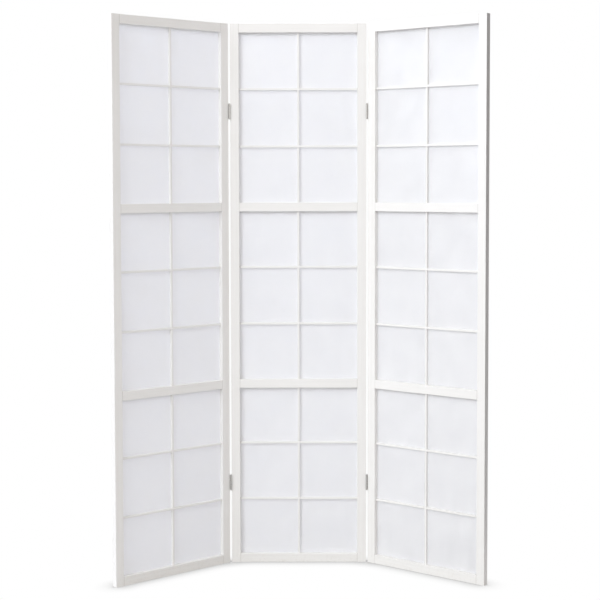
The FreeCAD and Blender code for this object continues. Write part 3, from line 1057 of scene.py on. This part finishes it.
@dataclass
class Panel:
    """One panel: its frame of stiles and rails, lattice, paper, slips and dowels."""

    name: str
    placement: Placement
    finishes: Finishes
    seed: int
    width: float = 445 * MM
    height: float = 1778 * MM
    thickness: float = 20 * MM
    member: float = 28.5 * MM
    bar: float = 6.5 * MM
    paper_setback: float = 15 * MM
    paper_lap: float = 5.9 * MM
    slip_inset: float = 3.0 * MM
    brad_inset: float = 14 * MM
    seed_step: int = 10

    @property
    def opening(self) -> tuple[float, float]:
        """Width and height of one of the three openings."""
        wide = self.width - 2 * self.member
        return wide, (self.height - len(RAILS) * self.member) / len(SECTIONS)

    def section_foot(self, index: int) -> float:
        """Height of the foot of an opening, counted from the lowest."""
        return self.member + index * (self.opening[1] + self.member)

    def dress(self) -> None:
        """Paints the frame, lattice and slips and finishes the dowels."""
        corner = (self.width / 2, self.thickness / 2)
        upright, level = (
            self.finishes.paint.material(
                f"{self.name}_paint_{run.name.lower()}",
                self.placement,
                run,
                corner,
                self.opening[0] / 2,
            )
            for run in Run
        )
        for piece in ("left_stile", "right_stile", "upright_bars", "slips"):
            dress(f"{self.name}_{piece}", upright)
        for piece in (*RAILS, "level_bars"):
            dress(f"{self.name}_{piece}", level)
        beech = self.finishes.beech.material(f"{self.name}_beech", self.placement)
        dress(f"{self.name}_dowels", beech)

    def lay_paper(self) -> None:
        """Lays a sheet of paper behind each lattice, in place of the CAD's flat one."""
        name = f"{self.name}_mulberry_paper"
        finish = self.finishes.paper.material(name, self.placement)
        wide, high = self.opening
        cut = (wide + 2 * self.paper_lap, high + 2 * self.paper_lap)
        sheet = PaperSheet(*cut, wide, high, self.bar)
        for index, section in enumerate(SECTIONS):
            mesh = sheet.mesh(finish, seed=self.seed_step * self.seed + index)
            depth = self.paper_setback - self.thickness / 2
            middle = Vector((0, depth, self.section_foot(index) + high / 2))
            mesh.transform(self.placement.matrix @ Matrix.Translation(middle))
            mesh.shade_smooth()
            title = f"{self.name}_{section}_sheet"
            piece = new_piece(title, mesh, self.name)
            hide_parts(f"{self.name}_{section}_paper")
            log.info("laid %s, %.1f x %.1f mm", piece.name, cut[0] / MM, cut[1] / MM)

    def slip_lines(self) -> Mesh:
        """Draws an edge along the back of each slip, kept clear of its ends.

        Returns:
            The edges as a mesh, in the object's frame.
        """
        wide, high = self.opening
        side, back = wide / 2 + self.slip_inset, self.thickness / 2
        reach = wide / 2 - self.brad_inset
        points = []
        for index in range(len(SECTIONS)):
            foot = self.section_foot(index)
            low, top = foot + self.brad_inset, foot + high - self.brad_inset
            for x in (-side, side):
                points += [(x, back, low), (x, back, top)]
            for z in (foot - self.slip_inset, foot + high + self.slip_inset):
                points += [(-reach, back, z), (reach, back, z)]
        mesh = bpy.data.meshes.new(f"{self.name}_slip_lines")
        mesh.from_pydata(points, [(i, i + 1) for i in range(0, len(points), 2)], [])
        mesh.transform(self.placement.matrix)
        return mesh

    def drive_brads(self, finish: Material) -> None:
        """Drives the brads that hold the slips.

        Args:
            finish: their metal.
        """
        mesh = SlipBrad().mesh(self.slip_lines(), finish, self.placement.turn)
        piece = new_piece(f"{self.name}_slip_brads", mesh, self.name)
        log.info("drove %s, %d faces", piece.name, len(mesh.polygons))


@dataclass
class Hinges:
    """The four two-way hinges and the screws that hold their leaves."""

    panels: list[Panel]
    finishes: Finishes
    middles: tuple[float, float] = (268 * MM, 1493 * MM)
    plate: float = 1.0 * MM
    plate_setback: float = 2.0 * MM
    screw_pitch: float = 17 * MM
    screw_stagger: float = 3.5 * MM

    def dress(self) -> None:
        """Plates the leaves and links and leaves the pins as drawn."""
        nickel = self.finishes.nickel.material("nickel_plate")
        drawn = self.finishes.drawn.material("drawn_steel")
        for joint in (Side.LEFT, Side.RIGHT):
            for level in ("upper", "lower"):
                prefix = f"{joint.name.lower()}_{level}_hinge"
                for piece in ("centre_leaf", "side_leaf", "link"):
                    dress(f"{prefix}_{piece}", nickel)
                dress(f"{prefix}_pins", drawn)

    def screw_points(self, panel: Panel) -> Mesh:
        """Where the heads of a panel's screws lie and which way the screws go in.

        Args:
            panel: the panel that they go into.

        Returns:
            A mesh of points with the attribute "aim", in the object's frame.
        """
        side, places, aims = panel.placement.side, [], []
        pin_side = -1 if side is Side.CENTRE else 1
        for joint in (Side.LEFT, Side.RIGHT):
            if side not in (Side.CENTRE, joint):
                continue
            edge = joint.value if side is Side.CENTRE else -joint.value
            seat = edge * (panel.width / 2 + self.plate)
            for middle in self.middles:
                for step in (-1, 0, 1):
                    stagger = self.screw_stagger * (1 if step == 0 else -1)
                    depth = pin_side * (self.plate_setback / 2 + stagger)
                    places.append((seat, depth, middle + step * self.screw_pitch))
                    aims.append(Vector((-edge, 0, 0)))
        mesh = bpy.data.meshes.new(f"{panel.name}_screw_points")
        mesh.from_pydata(places, [], [])
        mesh.transform(panel.placement.matrix)
        turn = panel.placement.matrix.to_3x3()
        attribute = mesh.attributes.new("aim", "FLOAT_VECTOR", "POINT")
        for item, aim in zip(attribute.data, aims):
            item.vector = turn @ aim
        return mesh

    def drive_screws(self, finish: Material) -> None:
        """Makes each panel's screws, in place of the CAD's plain ones.

        Args:
            finish: their metal.
        """
        for panel in self.panels:
            mesh = HingeScrew().mesh(self.screw_points(panel), finish, panel.seed)
            piece = new_piece(f"{panel.name}_screws", mesh, panel.name)
            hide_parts(f"{panel.name}_hinge_screws")
            log.info("drove %s, %d faces", piece.name, len(mesh.polygons))


# --- studio ---


@dataclass(frozen=True)
class SoftBox:
    """A large soft lamp that faces the middle of the screen."""

    name: str
    azimuth: float
    elevation: float
    distance: float
    size: float
    power: float
    tint: tuple = WHITE
    target: tuple = (0.0, -0.1, 0.9)

    def add(self) -> None:
        """Hangs the lamp. Its azimuth counts from the front towards the left."""
        around, up = math.radians(self.azimuth), math.radians(self.elevation)
        level = math.cos(up)
        away = Vector(
            (-math.sin(around) * level, -math.cos(around) * level, math.sin(up))
        )
        lamp = bpy.data.lights.new(self.name, "AREA")
        lamp.shape, lamp.size = "DISK", self.size
        lamp.energy, lamp.color = self.power, self.tint
        holder = add_object(self.name, lamp)
        holder.location = Vector(self.target) + away * self.distance
        holder.rotation_euler = away.to_track_quat("Z", "Y").to_euler()


@dataclass(frozen=True)
class Studio:
    """Camera, lamps, white surroundings and floor. Lens and sensor are in mm."""

    sensor: float = 36.0
    eye: tuple = (0.0054, -4.5286, 1.2625)
    tilt_down: float = 3.0
    roll: float = -0.104
    lens: float = 82.56
    shift_up: float = -0.0766
    front_light: float = 0.885
    back_light: float = 0.02
    light_edge: tuple = (-0.5, 0.5)
    shine: float = 0.45
    light_tint: tuple = (1.0, 0.960, 0.930)
    floor_size: float = 14.0
    floor_grey: tuple = (0.58, 0.57, 0.555)
    # the floor's painted contact shadow: how far it reaches, its samples, its edge and
    # its grey
    painted_shadow_reach: float = 0.07
    painted_shadow_samples: int = 16
    painted_shadow_edge: tuple = (0.35, 0.98)
    painted_shadow_grey: tuple = (0.48, 0.475, 0.47)
    lamps: tuple = (
        SoftBox("key", 44, 30, 14, size=9.5, power=1045, tint=(0.905, 0.955, 1.0)),
        SoftBox("back_left", 122, 50, 5, size=3.0, power=225, tint=(0.82, 0.87, 1.0)),
        SoftBox("back_right", 212, 50, 5, size=3.0, power=98, tint=(0.82, 0.87, 1.0)),
    )
    flag_widths: tuple = (0.08, 0.16)
    flag_heights: tuple = (0.13, 1.95)
    flag_gap: float = 0.13
    flag_grey: tuple = (0.05, 0.05, 0.05)

    def set_camera(self) -> None:
        """Sets the camera close to where the photograph was taken from."""
        data = bpy.data.cameras.new("camera")
        data.sensor_width, data.lens = self.sensor, self.lens
        data.shift_y = self.shift_up
        camera = add_object("camera", data)
        level = QUARTER_TURN - math.radians(self.tilt_down)
        aim = Matrix.Rotation(level, 4, "X")
        roll = Matrix.Rotation(math.radians(self.roll), 4, "Z")
        camera.matrix_world = Matrix.Translation(self.eye) @ aim @ roll
        bpy.context.scene.camera = camera

    def set_world(self) -> None:
        """Shows the camera plain white, and lights the screen mostly from the front."""
        world = bpy.data.worlds.new("surroundings")
        world.use_nodes = True
        world.node_tree.nodes.clear()
        bpy.context.scene.world = world
        tree = Tree(world.node_tree)
        path = tree.node("ShaderNodeLightPath").outputs
        towards = tree.node("ShaderNodeTexCoord").outputs["Generated"]
        behind = tree.ramp(tree.split(towards)[1], *self.light_edge)
        soft = behind * (self.back_light - self.front_light) + self.front_light
        shine = Value(tree, path["Is Glossy Ray"]) * self.shine
        strength = tree.math("MAXIMUM", soft, shine)
        lit = {"Color": (*self.light_tint, 1), "Strength": strength}
        dim = tree.node("ShaderNodeBackground", None, lit)
        plain = tree.node("ShaderNodeBackground", None, {"Color": (*WHITE, 1)})
        sides = {0: path["Is Camera Ray"], 1: dim, 2: plain}
        sky = tree.node("ShaderNodeMixShader", None, sides)
        tree.node("ShaderNodeOutputWorld", None, {"Surface": sky})

    def lay_floor(self) -> None:
        """Lays a white floor: the camera sees an even white glow with a painted contact
        shadow only close under the screen, other rays see plain grey.
        """
        shader = Shader("white_floor")
        path = shader.node("ShaderNodeLightPath").outputs
        # painted contact shadow: the camera's view of the floor darkens where ambient
        # occlusion finds the screen close by
        settings = {"samples": self.painted_shadow_samples}
        inputs = {"Distance": self.painted_shadow_reach}
        near = shader.node("ShaderNodeAmbientOcclusion", settings, inputs)
        clear = Value(shader, near.outputs["AO"])
        white = shader.ramp(clear, *self.painted_shadow_edge, smooth=False)
        colour = shader.blend(white, self.painted_shadow_grey, WHITE)
        painted_shadow_glow = shader.node("ShaderNodeEmission", None, {"Color": colour})
        grey = {"Color": (*self.floor_grey, 1)}
        lit = shader.node("ShaderNodeBsdfDiffuse", None, grey)
        sides = {0: path["Is Camera Ray"], 1: lit, 2: painted_shadow_glow}
        finish = shader.finished(shader.node("ShaderNodeMixShader", None, sides))
        half = self.floor_size / 2
        signs = ((-1, -1), (1, -1), (1, 1), (-1, 1))
        corners = [(x * half, y * half, 0) for x, y in signs]
        floor = self._card("floor", corners, finish)

    def hang_flag(self, panel: Placement, half_width: float) -> None:
        """Hangs a dark card beside a panel's outer edge, to keep that edge in shade.

        Args:
            panel: where the panel stands.
            half_width: half of its width.
        """
        foot, head = self.flag_widths
        low, high = self.flag_heights
        reach = panel.side.value * (half_width + self.flag_gap)
        outline = ((-foot, low), (foot, low), (head, high), (-head, high))
        shader = Shader("flag_cloth")
        grey = {"Color": (*self.flag_grey, 1)}
        cloth = shader.finished(shader.node("ShaderNodeBsdfDiffuse", None, grey))
        card = self._card("flag", [(reach, y / 2, z) for y, z in outline], cloth)
        card.data.transform(panel.matrix)
        card.visible_camera = False

    @staticmethod
    def _card(name: str, corners: list[tuple], finish: Material) -> Object:
        """Makes a flat four-cornered card.

        Args:
            name: the card's name.
            corners: its corners, in turn.
            finish: its material.

        Returns:
            The card.
        """
        mesh = bpy.data.meshes.new(name)
        mesh.from_pydata(corners, [], [(0, 1, 2, 3)])
        mesh.materials.append(finish)
        return add_object(name, mesh)

    def build(self, flagged: Panel) -> None:
        """Sets up the whole studio.

        Args:
            flagged: the panel whose outer edge the flag stands beside.
        """
        self.set_camera()
        self.set_world()
        self.lay_floor()
        self.hang_flag(flagged.placement, flagged.width / 2)
        for lamp in self.lamps:
            lamp.add()
        settings = bpy.context.scene.view_settings
        settings.view_transform, settings.look = "Standard", "None"
        settings.exposure, settings.gamma = 0.0, 1.0


def main() -> None:
    """Builds the screen and its studio."""
    logging.basicConfig(level=logging.INFO, format="%(message)s", force=True)
    finishes = Finishes()
    folds = {Side.LEFT: 40.0, Side.CENTRE: 0.0, Side.RIGHT: 38.0}
    panels = [
        Panel(f"{side.name.lower()}_panel", Placement(side, fold), finishes, number)
        for number, (side, fold) in enumerate(folds.items(), start=1)
    ]
    zinc = finishes.zinc.material("zinc_plate")
    for panel in panels:
        panel.dress()
        panel.lay_paper()
        panel.drive_brads(zinc)
    hinges = Hinges(panels, finishes)
    hinges.dress()
    hinges.drive_screws(zinc)
    Studio().build(flagged=panels[-1])
    log.info("studio is set")


if __name__ == "__main__":
    main()
